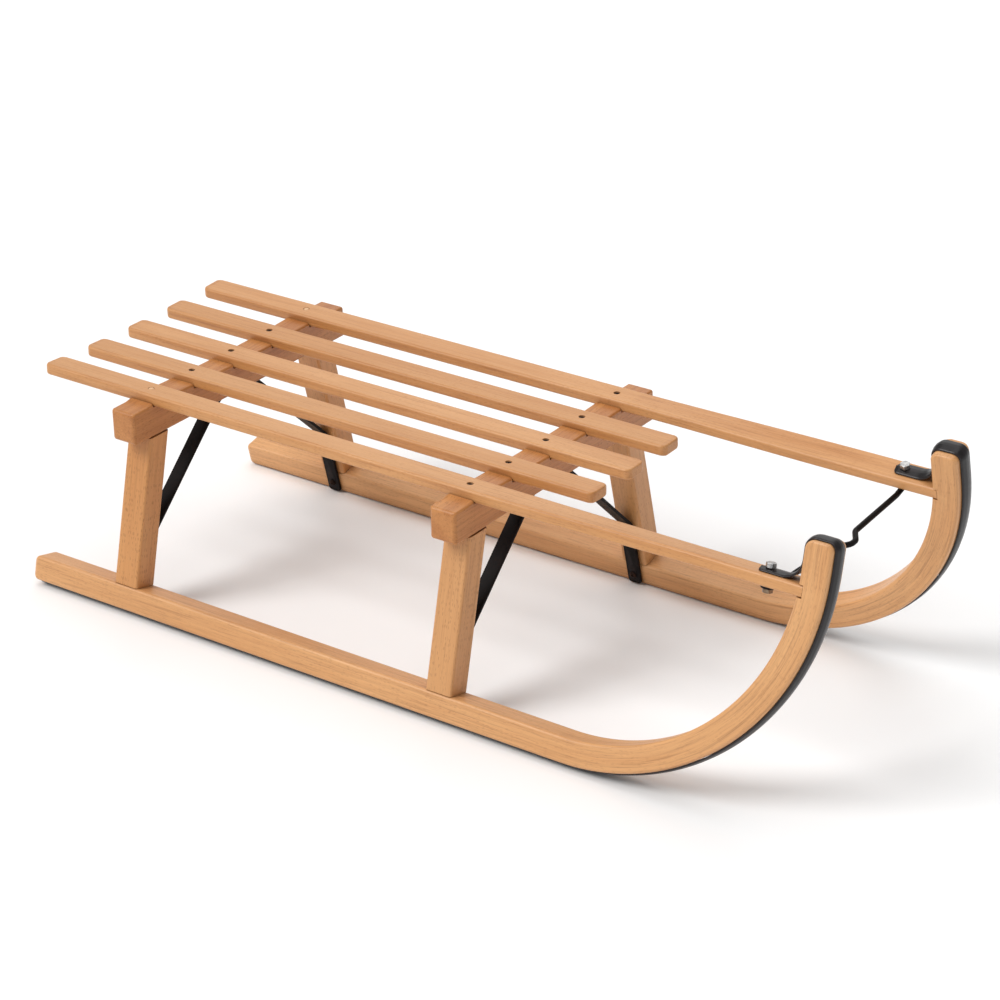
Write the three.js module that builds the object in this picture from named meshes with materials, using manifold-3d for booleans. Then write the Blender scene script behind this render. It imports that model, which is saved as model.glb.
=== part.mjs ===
// Wooden toboggan: a slatted sled on two bent wooden runners shod with steel.
// Units are millimetres. +X points forward to the upturned tips, +Y to the
// sled's left, +Z up. The ground is Z = 0 and the sled is centred on X = Y = 0.
import * as THREE from 'three';
import Module from 'manifold-3d';

const wasm = await Module();
wasm.setup();

// ---------------------------------------------------------------- dimensions
const GAP = 0.3;                 // clearance left between neighbouring pieces
const LEAN = THREE.MathUtils.degToRad(13.5);   // side frames lean in at the top
const SIN_L = Math.sin(LEAN);
const COS_L = Math.cos(LEAN);

const SHOE_V = 12.2;             // steel shoe's middle, in from the runner's face
const SHOE_T = 2.8;
const SHOE_LAND = 2;             // half width of the flat along the shoe's crown
const SHOE_SHOULDER = 6.4;       // the crown slopes down to here at the lean angle
const SHOE_HALF_W = 7.6;

const SHIFT_X = -115.8;          // puts the middle of the sled's length at X = 0
const FRAME_Y = 170.4;           // outer sole edge of a runner, from the centre
const FRAME_Z = (GAP + SHOE_T) * COS_L + (SHOE_V + SHOE_LAND) * SIN_L;
const SEAT_Z = FRAME_Z + 199.3;  // top of the outer slats at the crossbeams

const BEAM_X = 177;              // crossbeams sit at plus and minus this
const BEAM_W = 27;               // along X
const BEAM_LEN = 303;            // along Y
const BEAM_TOP = -6.4;           // from the slat tops, between the slats
const BEAM_END_TOP = -8.2;       // lower tops of the projecting ends
const BEAM_BOTTOM = -38.5;
const BEAM_EDGE_R = 2.2;

const SLAT_PITCH = 55.5;
const SLAT_W = 26;
const SLAT_T = 10.3;
const SLAT_REAR_X = -296;
const SLAT_FRONT_X = 271;        // front ends of the three inner slats
const SLAT_CORNER_R = 6;         // rounding of the ends in plan
const SLAT_EDGE_R = 2.6;
const SEAT_HOLLOW_R = 2200;      // the seat is slightly hollow across the sled
const TWIST_START_X = 191;       // the outer slats twist to match the tips
const TWIST_END_X = 430;
const LAP_X = 504;               // outer slats end in a housing in the runners
const LAP_U = 203.3;             // height of the housing on the side frame

const RUN_W = 26;                // runner, across
const RUN_H_FOOT = 23.3;         // runner, sole to top, along the foot
const RUN_H_TIP = 25;
const RUN_EDGE_R = 3;
const RUN_REAR_X = -290;
const BEND_X = 304.5;            // the foot ends and the bend begins
const BEND_R = 220;              // sole radius of the bend
const TIP_U = 245.8;             // top of the tip, along the side frame
const TIP_FRONT_R = 6.5;
const TIP_BACK_R = 8;

const LEG_X = 27;                // leg section along X
const LEG_V0 = 0.8;              // leg's outer face, in from the runner's face
const LEG_V1 = 25.3;
const LEG_EDGE_R = 2.5;
const LEG_TOP_GAP = 0.8;
const TENON_X = 15;
const TENON_V = 11;
const TENON_TOP = 15;
const TENON_FOOT = 13;

const SHOE_REAR_X = -282;
const TONGUE_X = 459.2;          // rounded rear end of the strap on the slat
const TONGUE_R = 5;
const BOLT_X = 467.7;
const BOLT_R = 2.5;
const BOLT_AF = 8;               // across the flats of its hexagon head
const BOLT_HEAD = 4;
const BOLT_HOLE_R = 2.9;
const EYE_R = 6.2;
const EYE_T = 3;                 // flattened rod end under the slat
const NUT_AF = 8;
const NUT_T = 3.5;

const BRACE_W = 14;
const BRACE_T = 3;
const BRACE_FOOT_U = 2.5;
const BRACE_KNEE_U = 70.7;
const BRACE_HEAD_Y = 26.1;       // where the brace turns flat under the beam
const BRACE_TIP_Y = 7;
const BRACE_FOOT_SCREW_U = 12;
const BRACE_HEAD_SCREW_Y = 16;

const ROD_R = 2.5;
const ROD_X = 472;               // the rod bows slightly forward to here
const ROD_KINK_X = 480.8;        // front of the rope notch in its middle
const ROD_KINK_IN_Y = 18.1;
const ROD_KINK_OUT_Y = 3.8;

// --------------------------------------------------------------- wood, metal
const colours = {
  slat: [0.74, 0.47, 0.27],
  beam: [0.62, 0.36, 0.18],
  leg: [0.64, 0.38, 0.2],
  runner: [0.68, 0.42, 0.23],
  plug: [0.76, 0.51, 0.31],
  steel: [0.035, 0.03, 0.03],
  zinc: [0.62, 0.62, 0.6],
};
const material = (name, roughness, metalness) => {
  const m = new THREE.MeshStandardMaterial({ roughness, metalness });
  m.color.setRGB(...colours[name]);
  m.name = name;
  return m;
};
const woodSlat = material('slat', 0.5, 0);
const woodBeam = material('beam', 0.55, 0);
const woodLeg = material('leg', 0.55, 0);
const woodRunner = material('runner', 0.5, 0);
const woodPlug = material('plug', 0.5, 0);
const blackSteel = material('steel', 0.45, 0.6);
const brightZinc = material('zinc', 0.3, 0.9);

const group = new THREE.Group();
group.name = 'wooden_toboggan';

// -------------------------------------------------------------------- frames
// A side frame's own coordinates: u runs up its lean from the sole, v inward
// from the runner's outer face. side is -1 on the right and +1 on the left.
const framePoint = (side, x, u, v) => new THREE.Vector3(
  x + SHIFT_X,
  side * (FRAME_Y - u * SIN_L - v * COS_L),
  FRAME_Z + u * COS_L - v * SIN_L,
);
const point = (x, y, z) => new THREE.Vector3(x + SHIFT_X, y, z);

// ---------------------------------------------------------------------- loft
// Joins matching rings of points into one closed solid with its faces out.
function loft(rings) {
  const n = rings[0].length;
  const positions = [];
  const index = [];
  for (const ring of rings) {
    for (const p of ring) positions.push(p.x, p.y, p.z);
  }
  for (let i = 0; i + 1 < rings.length; i += 1) {
    for (let j = 0; j < n; j += 1) {
      const a = i * n + j;
      const b = i * n + ((j + 1) % n);
      index.push(a, b, a + n, b, b + n, a + n);
    }
  }
  for (const [ring, flip] of [[0, true], [rings.length - 1, false]]) {
    const middle = new THREE.Vector3();
    rings[ring].forEach((p) => middle.add(p));
    middle.divideScalar(n);
    const centre = positions.length / 3;
    positions.push(middle.x, middle.y, middle.z);
    for (let j = 0; j < n; j += 1) {
      const a = ring * n + j;
      const b = ring * n + ((j + 1) % n);
      if (flip) index.push(centre, b, a);
      else index.push(centre, a, b);
    }
  }
  const p = (i) => new THREE.Vector3().fromArray(positions, i * 3);
  let volume = 0;
  for (let i = 0; i < index.length; i += 3) {
    volume += p(index[i]).dot(p(index[i + 1]).cross(p(index[i + 2])));
  }
  if (volume < 0) index.reverse();
  const geometry = new THREE.BufferGeometry();
  geometry.setAttribute('position', new THREE.Float32BufferAttribute(positions, 3));
  geometry.setIndex(index);
  return geometry;
}

// A rounded rectangle as a list of [a, b] pairs between the given limits.
function roundedRect(a0, a1, b0, b1, radius, steps = 2) {
  const r = Math.max(0.05, Math.min(radius, (a1 - a0) / 2 - 0.05, (b1 - b0) / 2 - 0.05));
  const corners = [
    [a1 - r, b1 - r, 0],
    [a0 + r, b1 - r, 1],
    [a0 + r, b0 + r, 2],
    [a1 - r, b0 + r, 3],
  ];
  const out = [];
  for (const [a, b, quarter] of corners) {
    for (let k = 0; k <= steps; k += 1) {
      const t = (quarter + k / steps) * Math.PI / 2;
      out.push([a + r * Math.cos(t), b + r * Math.sin(t)]);
    }
  }
  return out;
}

// How far a side pulls in at distance s from an end rounded with radius r.
const pullIn = (r, s) => (s >= r ? 0 : r - Math.sqrt(Math.max(0, r * r - (r - s) * (r - s))));

// Distances from an end at which rings are laid to follow its rounding.
function endSteps(r, steps = 4) {
  const out = [];
  for (let k = steps; k >= 1; k -= 1) {
    out.push(r * (1 - Math.sin((k / steps) * Math.PI / 2)));
  }
  return out;
}

// ------------------------------------------------------------------ booleans
function toManifold(geometry) {
  const source = geometry.index ? geometry : geometry.clone();
  const position = source.getAttribute('position');
  const keys = new Map();
  const verts = [];
  const remap = [];
  for (let i = 0; i < position.count; i += 1) {
    const xyz = [position.getX(i), position.getY(i), position.getZ(i)];
    const key = xyz.map((c) => Math.round(c * 1e4)).join(',');
    if (!keys.has(key)) {
      keys.set(key, verts.length / 3);
      verts.push(...xyz);
    }
    remap.push(keys.get(key));
  }
  const count = source.index ? source.index.count : position.count;
  const tris = [];
  for (let i = 0; i < count; i += 3) {
    const t = [0, 1, 2].map((k) => remap[source.index ? source.index.getX(i + k) : i + k]);
    if (t[0] !== t[1] && t[1] !== t[2] && t[2] !== t[0]) tris.push(...t);
  }
  return new wasm.Manifold(new wasm.Mesh({
    numProp: 3,
    vertProperties: new Float32Array(verts),
    triVerts: new Uint32Array(tris),
  }));
}

function fromManifold(solid) {
  const mesh = solid.getMesh();
  const geometry = new THREE.BufferGeometry();
  const positions = new Float32Array(mesh.vertProperties);
  geometry.setAttribute('position', new THREE.BufferAttribute(positions, 3));
  geometry.setIndex([...mesh.triVerts]);
  return geometry;
}

function cut(geometry, cutters) {
  let solid = toManifold(geometry);
  for (const cutter of cutters) solid = solid.subtract(toManifold(cutter));
  return fromManifold(solid);
}

function join(geometries) {
  let solid = toManifold(geometries[0]);
  for (const g of geometries.slice(1)) solid = solid.add(toManifold(g));
  return fromManifold(solid);
}

function add(name, geometry, mat) {
  const flat = geometry.index ? geometry.toNonIndexed() : geometry;
  flat.deleteAttribute('uv');
  flat.computeVertexNormals();
  const mesh = new THREE.Mesh(flat, mat);
  mesh.name = name;
  group.add(mesh);
}

// A turned piece: [radius, height] pairs from the axis to the axis, placed with
// its foot at base and its axis along dir.
function turned(profile, base, dir, segments = 12) {
  const g = new THREE.LatheGeometry(profile.map(([r, h]) => new THREE.Vector2(r, h)), segments);
  const q = new THREE.Quaternion().setFromUnitVectors(new THREE.Vector3(0, 1, 0), dir);
  g.applyQuaternion(q);
  g.translate(base.x, base.y, base.z);
  g.deleteAttribute('normal');
  g.deleteAttribute('uv');
  return g;
}

// --------------------------------------------------------------------- slats
const hollow = (y) => (y * y) / (2 * SEAT_HOLLOW_R)
  - (2 * SLAT_PITCH) ** 2 / (2 * SEAT_HOLLOW_R);
const tiltAt = (y) => Math.asin(y / SEAT_HOLLOW_R);
const smooth = (t) => {
  const c = Math.min(1, Math.max(0, t));
  return c * c * (3 - 2 * c);
};

// Where a slat's section stands at x: its centre, its width axis and its up axis.
function slatFrame(lane, x) {
  const y = lane * SLAT_PITCH;
  const tilt = tiltAt(y);
  const baseUp = new THREE.Vector3(0, -Math.sin(tilt), Math.cos(tilt));
  const top = new THREE.Vector3(0, y, SEAT_Z + hollow(y));
  const centre = top.addScaledVector(baseUp, -SLAT_T / 2);
  if (Math.abs(lane) < 2) {
    const across = new THREE.Vector3(0, Math.cos(tilt), Math.sin(tilt));
    return { centre, across, up: baseUp };
  }
  const side = Math.sign(lane);
  const t = smooth((x - TWIST_START_X) / (TWIST_END_X - TWIST_START_X));
  const angle = side * (Math.abs(tilt) * (1 - t) + LEAN * t);
  const lap = framePoint(side, 0, LAP_U, RUN_W / 2);
  lap.x = 0;
  centre.lerp(lap, t);
  return {
    centre,
    across: new THREE.Vector3(0, Math.cos(angle), Math.sin(angle)),
    up: new THREE.Vector3(0, -Math.sin(angle), Math.cos(angle)),
  };
}

function slatRing(lane, x, halfW, halfT, radius) {
  const f = slatFrame(lane, x);
  return roundedRect(-halfW, halfW, -halfT, halfT, radius).map(([a, b]) => {
    const p = f.centre.clone().addScaledVector(f.across, a).addScaledVector(f.up, b);
    p.x = x + SHIFT_X;
    return p;
  });
}

const screwHead = { r: 2.7, recess: 0.9, cone: 1.9, shank: 1.5, length: 22.5 };
const plugDepth = 4.6;
const lanes = [-2, -1, 0, 1, 2];
const slatNames = { '-2': 'outer_right', '-1': 'inner_right', 0: 'middle', 1: 'inner_left', 2: 'outer_left' };
const isPlugged = (lane, beamSide) => Math.abs(lane) === 2 && beamSide < 0;

function seatPoint(lane, x, depth) {
  const f = slatFrame(lane, x);
  const p = f.centre.clone().addScaledVector(f.up, SLAT_T / 2 - depth);
  p.x = x + SHIFT_X;
  return { p, down: f.up.clone().negate(), up: f.up };
}

function slatHole(lane, beamSide) {
  const plugged = isPlugged(lane, beamSide);
  const drop = plugged ? plugDepth : screwHead.recess;
  const { p, down } = seatPoint(lane, beamSide * BEAM_X, -1);
  const r = screwHead.r + GAP;
  const neck = screwHead.shank + GAP;
  const profile = [
    [0, 0],
    [r, 0],
    [r, 1 + drop],
    [neck, 1 + drop + screwHead.cone],
    [neck, SLAT_T + 3],
    [0, SLAT_T + 3],
  ];
  return turned(profile, p, down);
}

for (const lane of lanes) {
  const outer = Math.abs(lane) === 2;
  const frontX = outer ? LAP_X : SLAT_FRONT_X;
  const rings = [];
  const lay = (x, s, round) => {
    const w = SLAT_W / 2 - pullIn(round, s);
    const h = SLAT_T / 2 - pullIn(1.6, s);
    rings.push(slatRing(lane, x, w, h, SLAT_EDGE_R));
  };
  const ends = endSteps(SLAT_CORNER_R, 5);
  for (const s of ends) lay(SLAT_REAR_X + s, s, SLAT_CORNER_R);
  if (outer) {
    lay(SLAT_REAR_X + SLAT_CORNER_R, 99, 1);
    for (let k = 0; k <= 10; k += 1) {
      lay(TWIST_START_X + (TWIST_END_X - TWIST_START_X) * (k / 10), 99, 1);
    }
    lay(frontX, 99, 1);
  } else {
    lay(SLAT_REAR_X + SLAT_CORNER_R, 99, 1);
    lay(frontX - SLAT_CORNER_R, 99, 1);
    for (const s of ends.slice().reverse()) lay(frontX - s, s, SLAT_CORNER_R);
  }
  const cutters = [slatHole(lane, -1), slatHole(lane, 1)];
  if (outer) {
    const hole = turned(
      [[0, 0], [BOLT_HOLE_R, 0], [BOLT_HOLE_R, 30], [0, 30]],
      framePoint(Math.sign(lane), BOLT_X, LAP_U - 15, SHOE_V),
      new THREE.Vector3(0, -Math.sign(lane) * SIN_L, COS_L),
    );
    cutters.push(hole);
  }
  add(`slat_${slatNames[lane]}`, cut(loft(rings), cutters), woodSlat);
}

// --------------------------------------------------------------- slat screws
for (const beamSide of [-1, 1]) {
  const where = beamSide < 0 ? 'rear' : 'front';
  for (const lane of lanes) {
    const drop = isPlugged(lane, beamSide) ? plugDepth : screwHead.recess;
    const { p, down } = seatPoint(lane, beamSide * BEAM_X, drop);
    const s = screwHead;
    const end = s.length - drop;
    const profile = [
      [0, 0],
      [s.r, 0],
      [s.r, 0.3],
      [s.shank, s.cone],
      [s.shank, end - 3],
      [0.3, end],
      [0, end],
    ];
    add(`slat_screw_${where}_${slatNames[lane]}`, turned(profile, p, down), blackSteel);
    if (isPlugged(lane, beamSide)) {
      const seat = seatPoint(lane, beamSide * BEAM_X, plugDepth - 0.4);
      const h = plugDepth - 0.4;
      const plug = turned(
        [[0, 0], [screwHead.r, 0], [screwHead.r, h - 0.4], [screwHead.r - 0.3, h], [0, h]],
        seat.p,
        seat.up,
      );
      add(`slat_plug_${where}_${slatNames[lane]}`, plug, woodPlug);
    }
  }
}

// ---------------------------------------------------------------- crossbeams
function frameBox(side, x0, x1, u0, u1, v0, v1) {
  const ring = (u) => [[x0, v0], [x1, v0], [x1, v1], [x0, v1]]
    .map(([x, v]) => framePoint(side, x, u, v));
  return loft([ring(u0), ring(u1)]);
}

const legShoulderZ = SEAT_Z + BEAM_BOTTOM - LEG_TOP_GAP;
const legTopU = (v) => (legShoulderZ - FRAME_Z + v * SIN_L) / COS_L;

for (const beamSide of [-1, 1]) {
  const where = beamSide < 0 ? 'rear' : 'front';
  const topAt = (y) => {
    const inner = BEAM_TOP + hollow(y);
    const t = smooth((Math.abs(y) - 124) / 8);
    return SEAT_Z + inner * (1 - t) + BEAM_END_TOP * t;
  };
  const half = BEAM_LEN / 2;
  const ring = (y, s) => {
    const w = BEAM_W / 2 - pullIn(BEAM_EDGE_R, s);
    const z0 = SEAT_Z + BEAM_BOTTOM + pullIn(BEAM_EDGE_R, s);
    const z1 = topAt(y) - pullIn(BEAM_EDGE_R, s);
    return roundedRect(-w, w, z0, z1, BEAM_EDGE_R, 3)
      .map(([a, b]) => point(beamSide * BEAM_X + a, y, b));
  };
  const rings = [];
  for (const s of endSteps(BEAM_EDGE_R, 3)) rings.push(ring(-half + s, s));
  for (const y of [-132, -124, -90, -55, 0, 55, 90, 124, 132]) rings.push(ring(y, 99));
  for (const s of endSteps(BEAM_EDGE_R, 3).reverse()) rings.push(ring(half - s, s));

  const cutters = [];
  for (const lane of lanes) {
    const x = beamSide * BEAM_X;
    const hw = SLAT_W / 2 + GAP;
    const ringAt = (xx) => {
      const f = slatFrame(lane, x);
      return [[-hw, 30], [hw, 30], [hw, -SLAT_T / 2 - GAP], [-hw, -SLAT_T / 2 - GAP]].map(([a, b]) => {
        const p = f.centre.clone().addScaledVector(f.across, a).addScaledVector(f.up, b);
        p.x = xx + SHIFT_X;
        return p;
      });
    };
    cutters.push(loft([ringAt(x - 30), ringAt(x + 30)]));
    const { p, down } = seatPoint(lane, x, SLAT_T - 1);
    cutters.push(turned([[0, 0], [1.8, 0], [1.8, 14], [0, 14.4]], p, down));
  }
  for (const side of [-1, 1]) {
    const x = beamSide * BEAM_X;
    const vMid = (LEG_V0 + LEG_V1) / 2;
    const u = legTopU(vMid);
    const w = TENON_X / 2 + GAP;
    const h = TENON_V / 2 + GAP;
    cutters.push(frameBox(side, x - w, x + w, u - 6, u + TENON_TOP + GAP, vMid - h, vMid + h));
    const base = point(x, side * BRACE_HEAD_SCREW_Y, SEAT_Z + BEAM_BOTTOM - 1);
    cutters.push(turned([[0, 0], [2.1, 0], [2.1, 17], [0, 18]], base, new THREE.Vector3(0, 0, 1)));
  }
  add(`crossbeam_${where}`, cut(loft(rings), cutters), woodBeam);
}

// ---------------------------------------------------------------------- legs
const sideName = (side) => (side < 0 ? 'right' : 'left');
for (const side of [-1, 1]) {
  for (const beamSide of [-1, 1]) {
    const where = beamSide < 0 ? 'rear' : 'front';
    const x = beamSide * BEAM_X;
    const section = roundedRect(-LEG_X / 2, LEG_X / 2, LEG_V0, LEG_V1, LEG_EDGE_R);
    const foot = section.map(([a, v]) => framePoint(side, x + a, RUN_H_FOOT + GAP, v));
    const head = section.map(([a, v]) => framePoint(side, x + a, legTopU(v), v));
    const vMid = (LEG_V0 + LEG_V1) / 2;
    const tenonX = TENON_X / 2;
    const tenonV = TENON_V / 2;
    const topU = legTopU(vMid);
    const tenon = (u0, u1) => frameBox(side, x - tenonX, x + tenonX, u0, u1, vMid - tenonV, vMid + tenonV);
    const footU = RUN_H_FOOT + GAP;
    const upper = tenon(topU - 8, topU + TENON_TOP);
    const lower = tenon(footU - TENON_FOOT, footU + 8);
    add(`leg_${where}_${sideName(side)}`, join([loft([foot, head]), upper, lower]), woodLeg);
  }
}

// ------------------------------------------------------------------- runners
const runnerHeight = (t) => RUN_H_FOOT + (RUN_H_TIP - RUN_H_FOOT) * t;
const shoeScrewXs = [-240, -90, 60, 210];

for (const side of [-1, 1]) {
  const rings = [];
  const lay = (x, u, nx, nu, h, s, lowR, highR) => {
    const v = pullIn(Math.min(lowR, 6), s);
    const section = roundedRect(pullIn(lowR, s), h - pullIn(highR, s), v, RUN_W - v, RUN_EDGE_R);
    rings.push(section.map(([n, w]) => framePoint(side, x + nx * n, u + nu * n, w)));
  };
  const rear = endSteps(7, 5);
  for (const s of rear) lay(RUN_REAR_X + s, 0, 0, 1, RUN_H_FOOT, s, 7, 7);
  lay(RUN_REAR_X + 7, 0, 0, 1, RUN_H_FOOT, 99, 1, 1);
  for (const x of [-100, 100]) lay(x, 0, 0, 1, RUN_H_FOOT, 99, 1, 1);
  const bendSteps = 24;
  for (let k = 0; k <= bendSteps; k += 1) {
    const t = (k / bendSteps) * Math.PI / 2;
    const x = BEND_X + BEND_R * Math.sin(t);
    const u = BEND_R * (1 - Math.cos(t));
    lay(x, u, -Math.sin(t), Math.cos(t), runnerHeight(k / bendSteps), 99, 1, 1);
  }
  const tipX = BEND_X + BEND_R;
  lay(tipX, TIP_U - TIP_BACK_R, -1, 0, RUN_H_TIP, 99, 1, 1);
  for (const s of endSteps(TIP_BACK_R, 6).reverse()) {
    const v = pullIn(2, s);
    const n0 = pullIn(TIP_FRONT_R, s);
    const n1 = RUN_H_TIP - pullIn(TIP_BACK_R, s);
    const section = roundedRect(n0, n1, v, RUN_W - v, RUN_EDGE_R);
    rings.push(section.map(([n, w]) => framePoint(side, tipX - n, TIP_U - s, w)));
  }

  const lapHalf = SLAT_T / 2 + GAP;
  const cutters = [
    frameBox(side, tipX - RUN_H_TIP - 6, LAP_X + GAP, LAP_U - lapHalf, LAP_U + lapHalf, -4, RUN_W + 4),
  ];
  for (const beamSide of [-1, 1]) {
    const x = beamSide * BEAM_X;
    const vMid = (LEG_V0 + LEG_V1) / 2;
    const w = TENON_X / 2 + GAP;
    const h = TENON_V / 2 + GAP;
    const depth = RUN_H_FOOT + GAP - TENON_FOOT - GAP;
    cutters.push(frameBox(side, x - w, x + w, depth, RUN_H_FOOT + 5, vMid - h, vMid + h));
    const outward = new THREE.Vector3(0, side * COS_L, SIN_L);
    const mouth = framePoint(side, x, BRACE_FOOT_SCREW_U, RUN_W + 1);
    cutters.push(turned([[0, 0], [1.9, 0], [1.9, 6.5], [0, 7]], mouth, outward));
  }
  for (const x of shoeScrewXs) {
    const up = new THREE.Vector3(0, -side * SIN_L, COS_L);
    cutters.push(turned([[0, 0], [1.9, 0], [1.9, 15], [0, 16]], framePoint(side, x, -1, SHOE_V), up));
  }
  add(`runner_${sideName(side)}`, cut(loft(rings), cutters), woodRunner);
}

// --------------------------------------------------------------------- shoes
// Follows corner points [a, b, radius] or [a, b, c, radius], rounding each corner.
function filletPath(corners, step) {
  const size = corners[0].length;
  const at = (c) => new THREE.Vector3(c[0], c[1], size === 3 ? c[2] : 0);
  const out = [at(corners[0])];
  for (let i = 1; i + 1 < corners.length; i += 1) {
    const corner = at(corners[i]);
    const r = corners[i][size];
    const a = at(corners[i - 1]).sub(corner).normalize();
    const b = at(corners[i + 1]).sub(corner).normalize();
    const halfAngle = a.angleTo(b) / 2;
    const back = r / Math.tan(halfAngle);
    const bisector = a.clone().add(b).normalize();
    const centre = corner.clone().addScaledVector(bisector, r / Math.sin(halfAngle));
    const from = corner.clone().addScaledVector(a, back).sub(centre);
    const to = corner.clone().addScaledVector(b, back).sub(centre);
    const sweep = from.angleTo(to);
    const parts = Math.max(2, Math.ceil(sweep / step));
    for (let k = 0; k <= parts; k += 1) {
      const t = k / parts;
      const p = from.clone().multiplyScalar(Math.sin((1 - t) * sweep) / Math.sin(sweep))
        .addScaledVector(to, Math.sin(t * sweep) / Math.sin(sweep));
      out.push(p.add(centre));
    }
  }
  out.push(at(corners[corners.length - 1]));
  return out;
}

// Sweeps a bar's section along a plane path. The section is [w, n] pairs, w across
// the bar and n to the left of the path; place(a, b, w) turns a path point and a
// distance across the bar into a place in space. endR rounds the last end in plan.
function sweptBar(path, section, place, endR = 0) {
  const stations = path.map((p, i) => {
    const before = path[Math.max(0, i - 1)];
    const after = path[Math.min(path.length - 1, i + 1)];
    const inT = new THREE.Vector2(p.x - before.x, p.y - before.y);
    const outT = new THREE.Vector2(after.x - p.x, after.y - p.y);
    if (i === 0) inT.copy(outT);
    if (i === path.length - 1) outT.copy(inT);
    const tangent = inT.normalize().add(outT.normalize()).normalize();
    return { x: p.x, y: p.y, tangent, s: 99 };
  });
  if (endR > 0) {
    const end = stations.pop();
    for (const s of endSteps(endR).reverse()) {
      const x = end.x - end.tangent.x * s;
      const y = end.y - end.tangent.y * s;
      stations.push({ x, y, tangent: end.tangent, s });
    }
  }
  return loft(stations.map(({ x, y, tangent, s }) => section.map(([w, n]) => {
    const across = Math.sign(w) * Math.max(0.4, Math.abs(w) - pullIn(endR, s));
    return place(x - tangent.y * n, y + tangent.x * n, across);
  })));
}

const shoeOff = GAP + SHOE_T / 2;
const tipFace = BEND_X + BEND_R + shoeOff;
const backFace = BEND_X + BEND_R - RUN_H_TIP - shoeOff;
const tongueU = LAP_U + SLAT_T / 2 + shoeOff;
const shoePath = [];
for (const x of [SHOE_REAR_X, -180, -60, 60, 180]) shoePath.push(new THREE.Vector2(x, -shoeOff));
for (let k = 0; k <= 24; k += 1) {
  const t = (k / 24) * Math.PI / 2;
  const r = BEND_R + shoeOff;
  shoePath.push(new THREE.Vector2(BEND_X + r * Math.sin(t), BEND_R - r * Math.cos(t)));
}
shoePath.push(...filletPath([
  [tipFace, BEND_R + 4],
  [tipFace, TIP_U + shoeOff, TIP_FRONT_R + shoeOff],
  [backFace, TIP_U + shoeOff, TIP_BACK_R + shoeOff],
  [backFace, tongueU, 17],
  [TONGUE_X, tongueU],
], 0.3));

// The crown slopes at the lean angle, so its inner shoulder lies flat on the ground.
const shoulderN = -SHOE_T / 2 + (SHOE_SHOULDER - SHOE_LAND) * Math.tan(LEAN);
const shoeHalf = [
  [SHOE_LAND, -SHOE_T / 2],
  [SHOE_SHOULDER, shoulderN],
  [SHOE_HALF_W, shoulderN + 1],
  [SHOE_HALF_W, SHOE_T / 2],
];
const shoeSection = [...shoeHalf, ...shoeHalf.map(([w, n]) => [-w, n]).reverse()];

for (const side of [-1, 1]) {
  const place = (x, u, w) => framePoint(side, x, u, SHOE_V + w);
  const up = new THREE.Vector3(0, -side * SIN_L, COS_L);
  const cutters = shoeScrewXs.map((x) => turned(
    [[0, 0], [3.4, 0], [3.4, 1], [2, 2.6], [2, 6], [0, 6]],
    framePoint(side, x, -GAP - SHOE_T - 0.6, SHOE_V),
    up,
  ));
  cutters.push(turned(
    [[0, 0], [BOLT_HOLE_R, 0], [BOLT_HOLE_R, 12], [0, 12]],
    framePoint(side, BOLT_X, tongueU - 6, SHOE_V),
    up,
  ));
  const bar = sweptBar(shoePath, shoeSection, place, TONGUE_R);
  add(`shoe_${sideName(side)}`, cut(bar, cutters), blackSteel);
  shoeScrewXs.forEach((x, i) => {
    const profile = [[0, 0], [2.9, 0], [2.9, 0.3], [1.5, 1.9], [1.5, 11], [0.3, 14], [0, 14]];
    const base = framePoint(side, x, -GAP - SHOE_T + 0.25, SHOE_V);
    add(`shoe_screw_${sideName(side)}_${i + 1}`, turned(profile, base, up), brightZinc);
  });
}

// -------------------------------------------------------------------- braces
// Each brace starts on the inner face of a runner, leaves the leg at the knee,
// climbs inward and turns flat under the crossbeam.
const braceV = RUN_W + GAP + BRACE_T / 2;
const braceHeadZ = SEAT_Z + BEAM_BOTTOM - GAP - BRACE_T / 2;
const footPoint = framePoint(1, 0, BRACE_FOOT_U, braceV);
const kneePoint = framePoint(1, 0, BRACE_KNEE_U, braceV);
const bracePath = filletPath([
  [footPoint.y, footPoint.z],
  [kneePoint.y, kneePoint.z, 14],
  [BRACE_HEAD_Y, braceHeadZ, 10],
  [BRACE_TIP_Y, braceHeadZ],
], 0.22);

const braceSection = roundedRect(-BRACE_W / 2, BRACE_W / 2, -BRACE_T / 2, BRACE_T / 2, 0.7, 1);

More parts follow.
